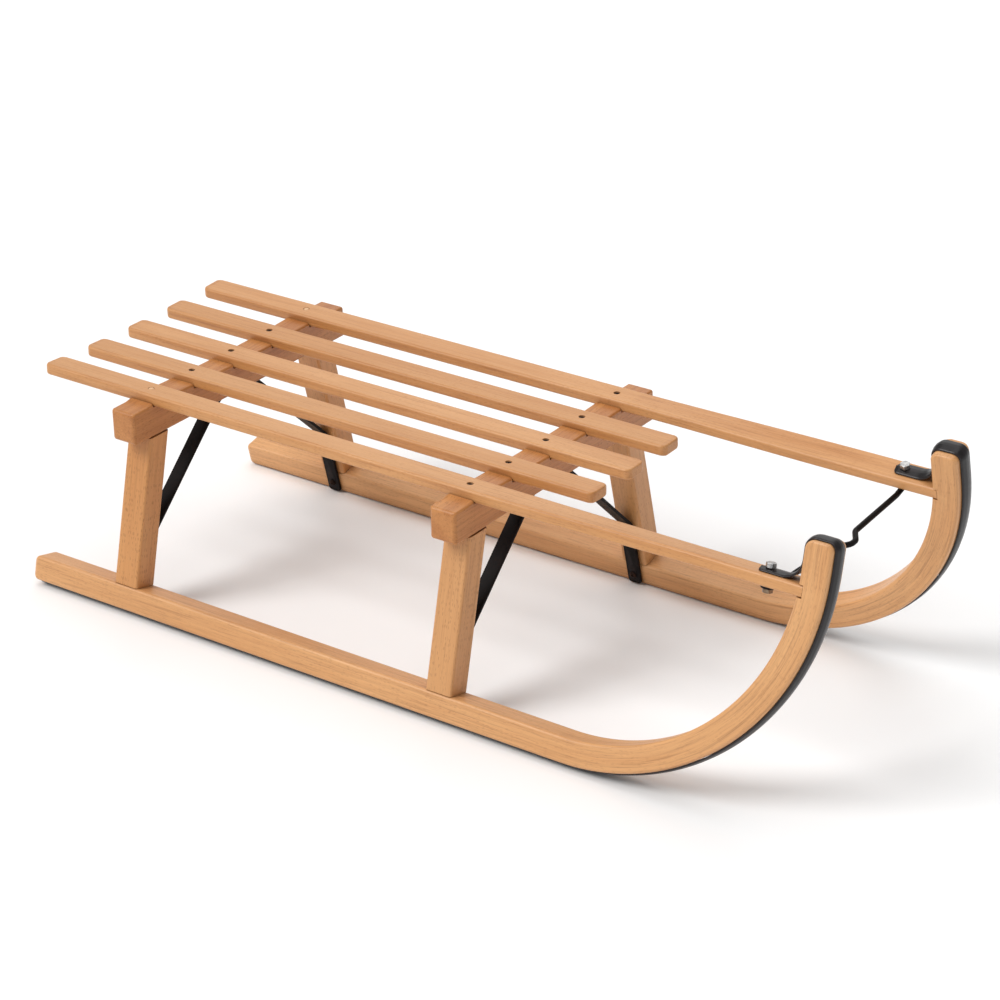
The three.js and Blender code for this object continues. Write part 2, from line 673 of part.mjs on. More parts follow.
for (const side of [-1, 1]) {
  for (const beamSide of [-1, 1]) {
    const where = beamSide < 0 ? 'rear' : 'front';
    const x = beamSide * BEAM_X;
    const place = (y, z, w) => point(x + w, side * y, z);
    const inward = new THREE.Vector3(0, -side * COS_L, -SIN_L);
    const outward = inward.clone().negate();
    const footMouth = framePoint(side, x, BRACE_FOOT_SCREW_U, RUN_W + GAP + BRACE_T + 1);
    const headMouth = point(x, side * BRACE_HEAD_SCREW_Y, braceHeadZ - BRACE_T / 2 - 1);
    const skyward = new THREE.Vector3(0, 0, 1);
    const holes = [
      turned([[0, 0], [2.1, 0], [2.1, 6], [0, 6]], footMouth, outward),
      turned([[0, 0], [2.1, 0], [2.1, 6], [0, 6]], headMouth, skyward),
    ];
    const bar = sweptBar(bracePath, braceSection, place);
    add(`brace_${where}_${sideName(side)}`, cut(bar, holes), blackSteel);
    const dome = [[0, 0], [1.6, 0.1], [2.9, 0.8], [3.5, 1.9], [3.5, 2.3], [1.5, 2.3]];
    const footBase = framePoint(side, x, BRACE_FOOT_SCREW_U, RUN_W + GAP + BRACE_T + 2.6);
    const headBase = point(x, side * BRACE_HEAD_SCREW_Y, braceHeadZ - BRACE_T / 2 - 2.6);
    const footScrew = turned([...dome, [1.5, 10], [0, 11]], footBase, outward);
    const headScrew = turned([...dome, [1.5, 18], [0, 20]], headBase, skyward);
    add(`brace_foot_screw_${where}_${sideName(side)}`, footScrew, blackSteel);
    add(`brace_head_screw_${where}_${sideName(side)}`, headScrew, blackSteel);
  }
}

// ------------------------------------------------------------------ pull rod
const eyeU = LAP_U - SLAT_T / 2 - GAP - EYE_T / 2;
const rodHalf = (side) => {
  const eye = framePoint(side, 0, eyeU - 0.9, SHOE_V + 5);
  const low = framePoint(side, 0, eyeU - 1.3, RUN_W + 4);
  return [
    [BOLT_X, eye.y, eye.z],
    [BOLT_X, low.y, low.z, 9],
    [ROD_X, side * ROD_KINK_IN_Y, low.z, 12],
    [ROD_KINK_X, side * ROD_KINK_OUT_Y, low.z, 9],
  ];
};
const rodPath = filletPath([...rodHalf(-1), ...rodHalf(1).reverse()], 0.4);
const rodRings = rodPath.map((p, i) => {
  const a = rodPath[Math.max(0, i - 1)];
  const b = rodPath[Math.min(rodPath.length - 1, i + 1)];
  const tangent = b.clone().sub(a).normalize();
  const across = new THREE.Vector3(0, 0, 1).cross(tangent).normalize();
  const over = tangent.clone().cross(across);
  const ring = [];
  for (let k = 0; k < 10; k += 1) {
    const angle = (k / 10) * 2 * Math.PI;
    const q = p.clone()
      .addScaledVector(across, ROD_R * Math.cos(angle))
      .addScaledVector(over, ROD_R * Math.sin(angle));
    q.x += SHIFT_X;
    ring.push(q);
  }
  return ring;
});
const upOf = (side) => new THREE.Vector3(0, -side * SIN_L, COS_L);
const eyes = [-1, 1].map((side) => turned(
  [[0, 0], [EYE_R - 0.6, 0], [EYE_R, 0.6], [EYE_R, EYE_T - 0.6], [EYE_R - 0.6, EYE_T], [0, EYE_T]],
  framePoint(side, BOLT_X, eyeU - EYE_T / 2, SHOE_V),
  upOf(side),
  16,
));
const eyeHoles = [-1, 1].map((side) => turned(
  [[0, 0], [BOLT_HOLE_R, 0], [BOLT_HOLE_R, 20], [0, 20]],
  framePoint(side, BOLT_X, eyeU - 10, SHOE_V),
  upOf(side),
));
add('pull_rod', cut(join([loft(rodRings), ...eyes]), eyeHoles), blackSteel);

// ------------------------------------------------------------- bolts and nuts
function hexPrism(side, u0, u1, across, chamfer) {
  const ring = (u, r) => {
    const out = [];
    for (let k = 0; k < 6; k += 1) {
      const t = (k / 6) * 2 * Math.PI + 0.2;
      out.push(framePoint(side, BOLT_X + r * Math.cos(t), u, SHOE_V + r * Math.sin(t)));
    }
    return out;
  };
  const r = across / Math.sqrt(3);
  return loft([
    ring(u0, r - chamfer),
    ring(u0 + chamfer, r),
    ring(u1 - chamfer, r),
    ring(u1, r - chamfer),
  ]);
}

const headU = tongueU + SHOE_T / 2 + GAP;
const nutU = eyeU - EYE_T / 2 - GAP;
const boltEndU = nutU - NUT_T - 0.4;
for (const side of [-1, 1]) {
  const shankLength = headU + 2 - boltEndU;
  const shank = turned(
    [[0, 0], [BOLT_R - 0.5, 0], [BOLT_R, 0.6], [BOLT_R, shankLength], [0, shankLength]],
    framePoint(side, BOLT_X, boltEndU, SHOE_V),
    upOf(side),
  );
  const head = hexPrism(side, headU, headU + BOLT_HEAD, BOLT_AF, 0.6);
  add(`tip_bolt_${sideName(side)}`, join([head, shank]), brightZinc);
  const hole = turned(
    [[0, 0], [BOLT_R + GAP, 0], [BOLT_R + GAP, 12], [0, 12]],
    framePoint(side, BOLT_X, nutU - 9, SHOE_V),
    upOf(side),
  );
  add(`tip_nut_${sideName(side)}`, cut(hexPrism(side, nutU - NUT_T, nutU, NUT_AF, 0.5), [hole]), brightZinc);
}

export default group;
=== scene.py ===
# Wooden toboggan: the visible pieces of a slatted sled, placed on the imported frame.
import math
import random

import bmesh
import bpy
from mathutils import Matrix, Vector


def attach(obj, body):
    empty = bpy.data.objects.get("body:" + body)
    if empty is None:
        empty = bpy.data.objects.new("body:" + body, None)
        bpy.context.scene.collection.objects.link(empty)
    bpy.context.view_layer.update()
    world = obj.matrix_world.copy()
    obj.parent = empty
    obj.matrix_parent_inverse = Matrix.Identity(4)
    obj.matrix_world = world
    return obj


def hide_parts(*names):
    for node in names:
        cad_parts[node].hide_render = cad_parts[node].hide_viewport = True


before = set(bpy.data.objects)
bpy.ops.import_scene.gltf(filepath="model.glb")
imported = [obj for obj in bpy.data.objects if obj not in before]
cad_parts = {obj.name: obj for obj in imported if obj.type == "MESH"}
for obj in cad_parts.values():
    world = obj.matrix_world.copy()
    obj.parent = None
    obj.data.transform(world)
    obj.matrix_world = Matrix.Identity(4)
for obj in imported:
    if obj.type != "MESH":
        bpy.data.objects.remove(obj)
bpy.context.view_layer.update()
MM = 0.001

# ------------------------------------------------------------- dimensions, mm
# x runs forward from midway between the crossbeams. On a leaning side frame, u
# runs up from the runner's underside and v inward from its outer face.
GAP = 0.3
LEAN = math.radians(13.5)
SIN_L, COS_L = math.sin(LEAN), math.cos(LEAN)
SHOE_V, SHOE_T, SHOE_LAND, SHOE_SHOULDER, SHOE_HALF_W = 12.2, 2.8, 2.0, 6.4, 7.6
SHIFT_X = -115.8
FRAME_Y = 170.4
FRAME_Z = (GAP + SHOE_T) * COS_L + (SHOE_V + SHOE_LAND) * SIN_L
SEAT_Z = FRAME_Z + 199.3

BEAM_X, BEAM_W, BEAM_LEN = 177.0, 27.0, 303.0
BEAM_TOP, BEAM_END_TOP, BEAM_BOTTOM = -6.4, -8.2, -38.5
BEAM_STEP_Y, BEAM_STEP_RUN = 124.0, 8.0    # its top steps down to the end tops here
BEAM_EDGE_R, BEAM_END_R, BEAM_NOTCH_BEVEL = 2.2, 3.8, 0.45
BEAM_RING_PITCH = 12.0
SLAT_PITCH, SLAT_W, SLAT_T = 55.5, 26.0, 10.3
SLAT_REAR_X, SLAT_FRONT_X = -296.0, 271.0
SLAT_CORNER_R, SLAT_EDGE_R, SLAT_END_R, SEAT_HOLLOW_R = 6.0, 2.6, 1.6, 2200.0
TWIST_START_X, TWIST_END_X, LAP_X, LAP_U = 191.0, 430.0, 504.0, 203.3
RUN_W, RUN_H_FOOT, RUN_H_TIP, RUN_EDGE_R = 26.0, 23.3, 25.0, 3.0
RUN_REAR_X, RUN_END_R, RUN_END_SIDE_R = -290.0, 7.0, 6.0
BEND_X, BEND_R, TIP_U = 304.5, 220.0, 245.8
TIP_FRONT_R, TIP_BACK_R, TIP_SIDE_R, TIP_EDGE_R = 6.5, 8.0, 2.0, 3.6
LEG_X, LEG_V0, LEG_V1, LEG_EDGE_R, LEG_TOP_GAP = 27.0, 0.8, 25.3, 2.5, 0.8
LEG_MID_U, LEG_MID_V = 90.0, (LEG_V0 + LEG_V1) / 2
TENON_X, TENON_V, TENON_TOP, TENON_FOOT, TENON_ROOT = 15.0, 11.0, 15.0, 13.0, 8.0
SHOE_REAR_X, TONGUE_X, TONGUE_R, TONGUE_BEND_R = -282.0, 459.2, 5.0, 17.0
SHOE_SCREWS = (-240, -90, 60, 210)
BOLT_X, BOLT_R, BOLT_AF, BOLT_HEAD, BOLT_HOLE_R = 467.7, 2.5, 8.0, 4.0, 2.9
EYE_R, EYE_T, NUT_AF, NUT_T = 6.2, 3.0, 8.0, 3.5
HEX_BEVEL, HEX_TURN, THREAD_SHOW = 0.16, 0.2, 0.4
BRACE_W, BRACE_T, BRACE_FOOT_U, BRACE_KNEE_U = 14.0, 3.0, 2.5, 70.7
BRACE_HEAD_Y, BRACE_TIP_Y, BRACE_FOOT_SCREW_U, BRACE_HEAD_SCREW_Y = 26.1, 7.0, 12.0, 16.0
BRACE_KNEE_R, BRACE_HEAD_R, BRACE_END_R, BRACE_EDGE_R, BRACE_HOLE_R = 14.0, 10.0, 2.5, 0.8, 2.1
DOME_H = 2.6                               # a brace screw's head, over the brace
ROD_R, ROD_X, ROD_KINK_X, ROD_KINK_IN_Y, ROD_KINK_OUT_Y = 2.5, 472.0, 480.8, 18.1, 3.8
ROD_BEND_R, ROD_KINK_IN_R = 9.0, 12.0
HEAD_R, HEAD_RECESS, HEAD_CONE, SHANK_R, PLUG_DEPTH = 2.7, 0.9, 1.9, 1.5, 4.6
SLAT_SCREW_LEN, PLUG_RECESS = 22.5, 0.4

FLAT = 99.0                                # further in than any end's rounding
OVERSHOOT = 30.0                           # how far a cutter passes what it cuts
SHARP = math.radians(32)                   # edges that turn more are shaded sharp
LANES = {-2: "outer_right", -1: "inner_right", 0: "middle", 1: "inner_left", 2: "outer_left"}
SIDES = {-1: "right", 1: "left"}
ENDS = {-1: "rear", 1: "front"}


def frame_point(side, x, u, v):
    """A side frame's u (up its lean) and v (inward) to the row frame, in mm."""
    return Vector((x + SHIFT_X, side * (FRAME_Y - u * SIN_L - v * COS_L), FRAME_Z + u * COS_L - v * SIN_L))


def side_up(side):
    return Vector((0, -side * SIN_L, COS_L))


def smooth(t):
    c = min(1.0, max(0.0, t))
    return c * c * (3 - 2 * c)


def pull_in(r, s):
    """How far a rounding of radius r draws in a section that is s from the end."""
    return 0.0 if s >= r else r - math.sqrt(max(0.0, r * r - (r - s) ** 2))


def end_steps(r, steps=8):
    """Distances from an end, falling towards it, for sections through its rounding."""
    return [r * (1 - math.sin(k / steps * math.pi / 2)) for k in range(steps, 0, -1)]


def rounded_rect(a0, a1, b0, b1, radius, steps=6):
    r = max(0.05, min(radius, (a1 - a0) / 2 - 0.05, (b1 - b0) / 2 - 0.05))
    corners = ((a1 - r, b1 - r, 0), (a0 + r, b1 - r, 1), (a0 + r, b0 + r, 2), (a1 - r, b0 + r, 3))
    out = []
    for a, b, quarter in corners:
        for k in range(steps + 1):
            t = (quarter + k / steps) * math.pi / 2
            out.append((a + r * math.cos(t), b + r * math.sin(t)))
    return out


# ---------------------------------------------------------------- mesh making
def finish_mesh(bm, name):
    bmesh.ops.recalc_face_normals(bm, faces=bm.faces)
    mesh = bpy.data.meshes.new(name)
    bm.to_mesh(mesh)
    bm.free()
    for p in mesh.polygons:
        p.use_smooth = True
    mesh.set_sharp_from_angle(angle=SHARP)
    obj = bpy.data.objects.new(name, mesh)
    bpy.context.scene.collection.objects.link(obj)
    return obj


def loft(rings, name):
    """Joins matching rings of points, in mm, into one closed body."""
    bm = bmesh.new()
    made = [[bm.verts.new(p * MM) for p in ring] for ring in rings]
    n = len(made[0])
    for r0, r1 in zip(made, made[1:]):
        for j in range(n):
            k = (j + 1) % n
            bm.faces.new((r0[j], r0[k], r1[k], r1[j]))
    bm.faces.new(list(reversed(made[0])))
    bm.faces.new(made[-1])
    return finish_mesh(bm, name)


def turned(profile, base, axis, name="cutter", segments=32):
    """A closed turned body: (radius, height) pairs from axis to axis, in mm."""
    axis = axis.normalized()
    a = axis.orthogonal().normalized()
    b = axis.cross(a)
    bm = bmesh.new()
    rows = []
    for r, h in profile:
        if r < 1e-6:
            rows.append([bm.verts.new((base + axis * h) * MM)])
            continue
        ring = []
        for k in range(segments):
            t = 2 * math.pi * k / segments
            ring.append(bm.verts.new((base + axis * h + (a * math.cos(t) + b * math.sin(t)) * r) * MM))
        rows.append(ring)
    for r0, r1 in zip(rows, rows[1:]):
        for k in range(segments):
            m = (k + 1) % segments
            if len(r0) == 1:
                bm.faces.new((r0[0], r1[m], r1[k]))
            elif len(r1) == 1:
                bm.faces.new((r0[k], r0[m], r1[0]))
            else:
                bm.faces.new((r0[k], r0[m], r1[m], r1[k]))
    return finish_mesh(bm, name)


def drill(r, depth, base, axis):
    """A plain round cutter or bar."""
    return turned([(0, 0), (r, 0), (r, depth), (0, depth)], base, axis)


def block(points_low, points_high, name="cutter"):
    return loft([points_low, points_high], name)


def apply_modifiers(obj):
    deps = bpy.context.evaluated_depsgraph_get()
    mesh = bpy.data.meshes.new_from_object(obj.evaluated_get(deps))
    old = obj.data
    obj.modifiers.clear()
    obj.data = mesh
    bpy.data.meshes.remove(old)


def boolean(obj, cutters, operation="DIFFERENCE"):
    for cutter in cutters:
        m = obj.modifiers.new("cut", "BOOLEAN")
        m.operation = operation
        m.solver = "EXACT"
        m.object = cutter
    apply_modifiers(obj)
    for cutter in cutters:
        mesh = cutter.data
        bpy.data.objects.remove(cutter)
        bpy.data.meshes.remove(mesh)
    for p in obj.data.polygons:
        p.use_smooth = True
    obj.data.set_sharp_from_angle(angle=SHARP)


def soften(obj, width, degrees):
    """Bevels the edges that turn by more than this, width in mm."""
    bevel = obj.modifiers.new("soften", "BEVEL")
    bevel.width = width * MM
    bevel.segments = 2
    bevel.limit_method = "ANGLE"
    bevel.angle_limit = math.radians(degrees)
    apply_modifiers(obj)


def cross_recess(head, base, inward, span, width, depth):
    """Cuts a driver's cross into a screw head, narrowing inward; inward points into the head."""
    a = inward.orthogonal().normalized()
    b = inward.cross(a)
    corners = ((-1, -1), (1, -1), (1, 1), (-1, 1))
    cutters = []
    for d, e in ((a, b), (b, a)):
        low = [base - inward * 1.5 + d * i * span / 2 + e * j * width / 2 for i, j in corners]
        high = [base + inward * depth + d * i * span / 3.4 + e * j * width / 2.4 for i, j in corners]
        cutters.append(block(low, high))
    boolean(head, cutters)


def even_normals(obj):
    m = obj.modifiers.new("normals", "WEIGHTED_NORMAL")
    m.keep_sharp = True
    m.weight = 60


def grain(obj, place):
    """Stores each point's place in the wood: along the grain, across, and through, in m."""
    layer = obj.data.attributes.new("grain", "FLOAT_VECTOR", "POINT")
    for i, v in enumerate(obj.data.vertices):
        layer.data[i].vector = place(v.co)


def put(obj, slot_name, material, *nodes):
    obj.data.materials.clear()
    obj.data.materials.append(material)
    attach(obj, "root")
    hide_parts(*nodes)


# ------------------------------------------------------------------ materials
class Nodes:
    """Short hand for building a node tree."""

    def __init__(self, tree):
        self.tree = tree

    def new(self, kind, **values):
        """Adds a node. A name with a leading _ sets a property, any other an input."""
        node = self.tree.nodes.new("ShaderNode" + kind)
        for key, value in values.items():
            if key.startswith("_"):
                setattr(node, key[1:], value)
            else:
                self.feed(node.inputs[key], value)
        return node

    def feed(self, socket, value):
        if isinstance(value, bpy.types.NodeSocket):
            self.tree.links.new(value, socket)
        else:
            socket.default_value = value

    def math(self, operation, a, b=0.0, c=0.0):
        node = self.new("Math", _operation=operation)
        for socket, value in zip(node.inputs, (a, b, c)):
            self.feed(socket, value)
        return node.outputs[0]

    def vector(self, operation, a, b):
        node = self.new("VectorMath", _operation=operation)
        self.feed(node.inputs[0], a)
        self.feed(node.inputs[1], b)
        return node.outputs[0]

    def noise(self, vector, scale, detail, rough=0.55):
        node = self.new("TexNoise", Vector=vector, Scale=scale, Detail=detail, Roughness=rough)
        return node.outputs["Fac"]

    def span(self, value, low, high, to_low=0.0, to_high=1.0):
        """Eases value from low..high to to_low..to_high."""
        node = self.new("MapRange", _interpolation_type="SMOOTHSTEP")
        names = ("Value", "From Min", "From Max", "To Min", "To Max")
        for name, v in zip(names, (value, low, high, to_low, to_high)):
            self.feed(node.inputs[name], v)
        return node.outputs[0]

    def mix(self, factor, a, b):
        node = self.new("Mix", _data_type="RGBA")
        self.feed(node.inputs[0], factor)
        self.feed(node.inputs[6], a)
        self.feed(node.inputs[7], b)
        return node.outputs[2]


def rgb(r, g, b):
    """An sRGB colour, 0 to 255, as linear RGBA."""
    def lin(c):
        c /= 255
        return c / 12.92 if c <= 0.04045 else ((c + 0.055) / 1.055) ** 2.4
    return (lin(r), lin(g), lin(b), 1.0)


def start(name):
    material = bpy.data.materials.new(name)
    material.use_nodes = True
    tree = material.node_tree
    shader = next(n for n in tree.nodes if n.type == "BSDF_PRINCIPLED")
    return material, Nodes(tree), shader


# how often each part of the wood's pattern repeats in a metre: along, across, through
BROAD, FIBRE = (2.2, 60.0, 60.0), (14.0, 520.0, 520.0)
HAIR, PORE = (32.0, 1500.0, 1500.0), (70.0, 4300.0, 4300.0)
PATCH, WANDER, UNEVEN = (5.0, 14.0, 14.0), (1.6, 14.0, 14.0), (0.8, 110.0, 110.0)
STREAK, STREAK_AREA, FLECK = (7.0, 330.0, 330.0), (3.0, 40.0, 40.0), (200.0, 980.0, 980.0)
PITH_ACROSS, PITH_THROUGH, RINGS_PER_M = 0.021, 0.046, 210.0
# the brown painted into hollows and joints between parts as shade
WOOD_PAINTED_SHADE = rgb(96, 52, 22)


def beech(name, light, middle, dark, offset, flecks, streaks, rings):
    """Varnished beech. Its pattern runs along the stored grain coordinates."""
    material, n, shader = start(name)
    place = n.new("Attribute", _attribute_name="grain").outputs["Vector"]
    place = n.vector("ADD", place, offset)

    def stretched(often):
        return n.vector("MULTIPLY", place, often)

    slow = stretched(PATCH)
    # growth rings: bent sheets running along the piece
    wander = n.noise(stretched(WANDER), 1.0, 3.0)
    split = n.new("SeparateXYZ", Vector=place)
    across = n.math("MULTIPLY_ADD", wander, 0.016, split.outputs[1])
    through = n.math("MULTIPLY_ADD", wander, 0.010, split.outputs[2])
    across = n.math("POWER", n.math("ADD", across, PITH_ACROSS), 2.0)
    through = n.math("POWER", n.math("ADD", through, PITH_THROUGH), 2.0)
    radius = n.math("SQRT", n.math("ADD", across, through))
    uneven = n.math("MULTIPLY", n.noise(stretched(UNEVEN), 1.0, 2.0), 1.6)
    wave = n.math("FRACT", n.math("MULTIPLY_ADD", radius, RINGS_PER_M, uneven))
    ring = n.math("MULTIPLY", n.span(wave, 0.2, 0.9), n.span(wave, 1.0, 0.88))
    ring = n.math("MULTIPLY", ring, n.span(n.noise(slow, 0.6, 2.0), 0.35, 0.65, 0.25, 1.0))
    # the body colour, then fibres of two sizes and pores over it
    broad = n.noise(stretched(BROAD), 1.0, 4.0, 0.6)
    fibre = n.noise(stretched(FIBRE), 1.0, 3.0, 0.6)
    thread = n.noise(stretched(HAIR), 1.0, 2.0, 0.6)
    pore = n.span(n.noise(stretched(PORE), 1.0, 2.0, 0.5), 0.56, 0.68)
    patch = n.noise(slow, 1.0, 2.0)
    clouds = n.math("MULTIPLY", n.span(patch, 0.3, 0.7), 0.45)
    tone = n.math("MULTIPLY_ADD", n.span(broad, 0.32, 0.68), 0.55, clouds)
    colour = n.mix(tone, middle, light)
    colour = n.mix(n.math("MULTIPLY", ring, 0.22 * rings), colour, dark)
    colour = n.mix(n.math("MULTIPLY", n.span(fibre, 0.5, 0.76), 0.36), colour, dark)
    colour = n.mix(n.math("MULTIPLY", n.span(fibre, 0.5, 0.26), 0.35), colour, light)
    colour = n.mix(n.math("MULTIPLY", n.span(thread, 0.54, 0.78), 0.34), colour, dark)
    colour = n.mix(n.math("MULTIPLY", pore, 0.2), colour, dark)
    # long dark streaks
    streak = n.noise(stretched(STREAK), 1.0, 1.0, 0.5)
    where = n.span(n.noise(stretched(STREAK_AREA), 1.0, 1.0), 0.46, 0.62)
    streak = n.math("MULTIPLY", n.span(streak, 0.63, 0.74), where)
    colour = n.mix(n.math("MULTIPLY", streak, 0.5 * streaks), colour, dark)
    # ray flecks: short dark lenses, a few millimetres long
    cell = n.new("TexVoronoi", Vector=stretched(FLECK), Scale=1.0, Randomness=1.0)
    fleck = n.span(cell.outputs["Distance"], 0.4, 0.27)
    pick = n.new("SeparateColor", Color=cell.outputs["Color"])
    fleck = n.math("MULTIPLY", fleck, n.math("GREATER_THAN", pick.outputs[0], 0.55))
    fleck = n.math("MULTIPLY", fleck, n.span(patch, 0.35, 0.6, 0.45, 1.0))
    colour = n.mix(n.math("MULTIPLY", fleck, 0.66 * flecks), colour, dark)
    # wear: arrises are a little lighter; painted shade: hollows, corners and joints between parts are
    # darkened towards a brown by ambient occlusion
    geometry = n.new("NewGeometry")
    edge = n.span(geometry.outputs["Pointiness"], 0.515, 0.56)
    colour = n.mix(n.math("MULTIPLY", edge, 0.35), colour, light)
    hollow = n.new("AmbientOcclusion", Distance=0.012)
    hollow.samples = 3
    shade = n.span(hollow.outputs["AO"], 0.25, 0.85)
    colour = n.mix(n.math("MULTIPLY", n.math("SUBTRACT", 1.0, shade), 0.45), colour, WOOD_PAINTED_SHADE)
    n.feed(shader.inputs["Base Color"], colour)
    rough = n.math("MULTIPLY_ADD", fibre, 0.22, 0.36)
    rough = n.math("MULTIPLY_ADD", fleck, 0.12, rough)
    n.feed(shader.inputs["Roughness"], rough)
    n.feed(shader.inputs["Coat Weight"], 0.22)
    n.feed(shader.inputs["Coat Roughness"], 0.3)
    n.feed(shader.inputs["Specular IOR Level"], 0.42)
    height = n.math("MULTIPLY_ADD", fibre, 0.5, n.math("MULTIPLY", thread, 0.35))
    height = n.math("SUBTRACT", height, n.math("MULTIPLY", fleck, 0.35))
    height = n.math("SUBTRACT", height, n.math("MULTIPLY", streak, 0.3))
    height = n.math("SUBTRACT", height, n.math("MULTIPLY", pore, 0.25))
    bump = n.new("Bump", Strength=0.22, Distance=0.00025, Height=height)
    n.feed(shader.inputs["Normal"], bump.outputs[0])
    return material


SCALE_BROWN, RUBBED_STEEL = rgb(28, 19, 17), rgb(84, 77, 77)
BRUSHING = (500.0, 4200.0, 900.0)          # how often the zinc's scratches repeat in a metre


def black_steel(name, base=(9, 6, 6), worn=0.35, rough=0.46, gloss=0.07):
    """Blackened steel: mill scale mottling, rubbed lighter along its edges."""
    material, n, shader = start(name)
    place = n.new("TexCoord").outputs["Object"]
    mottle = n.noise(place, 210.0, 5.0, 0.62)
    cloud = n.noise(place, 34.0, 3.0, 0.5)
    grit = n.noise(place, 1700.0, 2.0, 0.6)
    edge = n.span(n.new("NewGeometry").outputs["Pointiness"], 0.505, 0.56)
    colour = n.mix(n.span(mottle, 0.35, 0.7), rgb(*[c * 0.72 for c in base]), rgb(*base))
    colour = n.mix(n.math("MULTIPLY", n.span(cloud, 0.45, 0.75), 0.3), colour, SCALE_BROWN)
    rub = n.math("MULTIPLY", edge, n.span(mottle, 0.3, 0.6, 0.3, 1.0))
    colour = n.mix(n.math("MULTIPLY", rub, worn), colour, RUBBED_STEEL)
    n.feed(shader.inputs["Base Color"], colour)
    n.feed(shader.inputs["Metallic"], n.math("MULTIPLY_ADD", rub, 0.5, 0.05))
    n.feed(shader.inputs["Specular IOR Level"], gloss)
    n.feed(shader.inputs["Roughness"], n.math("MULTIPLY_ADD", mottle, 0.28, rough - 0.14))
    bump = n.new("Bump", Strength=0.35, Distance=0.0002,
                 Height=n.math("MULTIPLY_ADD", grit, 0.6, mottle))
    n.feed(shader.inputs["Normal"], bump.outputs[0])
    return material


def zinc(name, low, high):
    """Zinc plate, lightly brushed and dulled, clouded between two colours."""
    material, n, shader = start(name)
    place = n.new("TexCoord").outputs["Object"]
    cloud = n.noise(place, 260.0, 4.0, 0.6)
    scratch = n.noise(n.vector("MULTIPLY", place, BRUSHING), 1.0, 2.0)
    colour = n.mix(n.span(cloud, 0.3, 0.7), low, high)
    n.feed(shader.inputs["Base Color"], colour)
    n.feed(shader.inputs["Metallic"], 0.95)
    n.feed(shader.inputs["Roughness"], n.math("MULTIPLY_ADD", scratch, 0.25, 0.2))
    bump = n.new("Bump", Strength=0.2, Distance=0.0001, Height=scratch)
    n.feed(shader.inputs["Normal"], bump.outputs[0])
    return material


random.seed(7)


def anywhere():
    return tuple(random.uniform(-3, 3) for _ in range(3))


SLAT_LIGHT, SLAT_MID, SLAT_DARK = (210, 154, 99), rgb(190, 128, 70), rgb(134, 74, 32)
SLAT_WARMTH = {-2: 0.0, -1: -4.0, 0: 2.0, 1: -6.0, 2: 3.0}
PLUG_LIGHT, PLUG_MID = rgb(230, 186, 140), rgb(214, 164, 112)
WOOD_LIGHT, WOOD_MID, WOOD_DARK = rgb(213, 158, 103), rgb(194, 134, 80), rgb(118, 64, 27)
BEAM_LIGHT, BEAM_MID = rgb(200, 136, 74), rgb(172, 106, 49)
LEG_REAR_LIGHT, LEG_REAR_MID = rgb(209, 149, 90), rgb(188, 122, 64)
RUN_LIGHT, RUN_MID = rgb(223, 169, 114), rgb(205, 146, 91)
steel = black_steel("blackened_steel")
steel_shoe = black_steel("shoe_steel", (25, 20, 22), 0.6, 0.34, 0.34)
screw_steel = black_steel("screw_steel", (52, 29, 16), 0.2, 0.5)
bright = zinc("zinc_plate", rgb(150, 150, 152), rgb(214, 213, 210))
dull = zinc("zinc_dull", rgb(112, 92, 74), rgb(160, 138, 116))


# ---------------------------------------------------------------------- slats
def hollow_z(y):
    return (y * y - (2 * SLAT_PITCH) ** 2) / (2 * SEAT_HOLLOW_R)


def slat_frame(lane, x):
    """Centre, width axis and up axis of a slat's section at x."""
    y = lane * SLAT_PITCH
    tilt = math.asin(y / SEAT_HOLLOW_R)
    up = Vector((0, -math.sin(tilt), math.cos(tilt)))
    centre = Vector((0, y, SEAT_Z + hollow_z(y))) - up * (SLAT_T / 2)
    if abs(lane) < 2:
        return centre, Vector((0, math.cos(tilt), math.sin(tilt))), up
    side = 1 if lane > 0 else -1
    t = smooth((x - TWIST_START_X) / (TWIST_END_X - TWIST_START_X))
    angle = side * (abs(tilt) * (1 - t) + LEAN * t)
    lap = frame_point(side, 0, LAP_U, RUN_W / 2)
    lap.x = 0
    centre = centre.lerp(lap, t)
    across = Vector((0, math.cos(angle), math.sin(angle)))
    return centre, across, Vector((0, -math.sin(angle), math.cos(angle)))


def seat_point(lane, x, depth):
    centre, _, up = slat_frame(lane, x)
    p = centre + up * (SLAT_T / 2 - depth)
    p.x = x + SHIFT_X
    return p, up


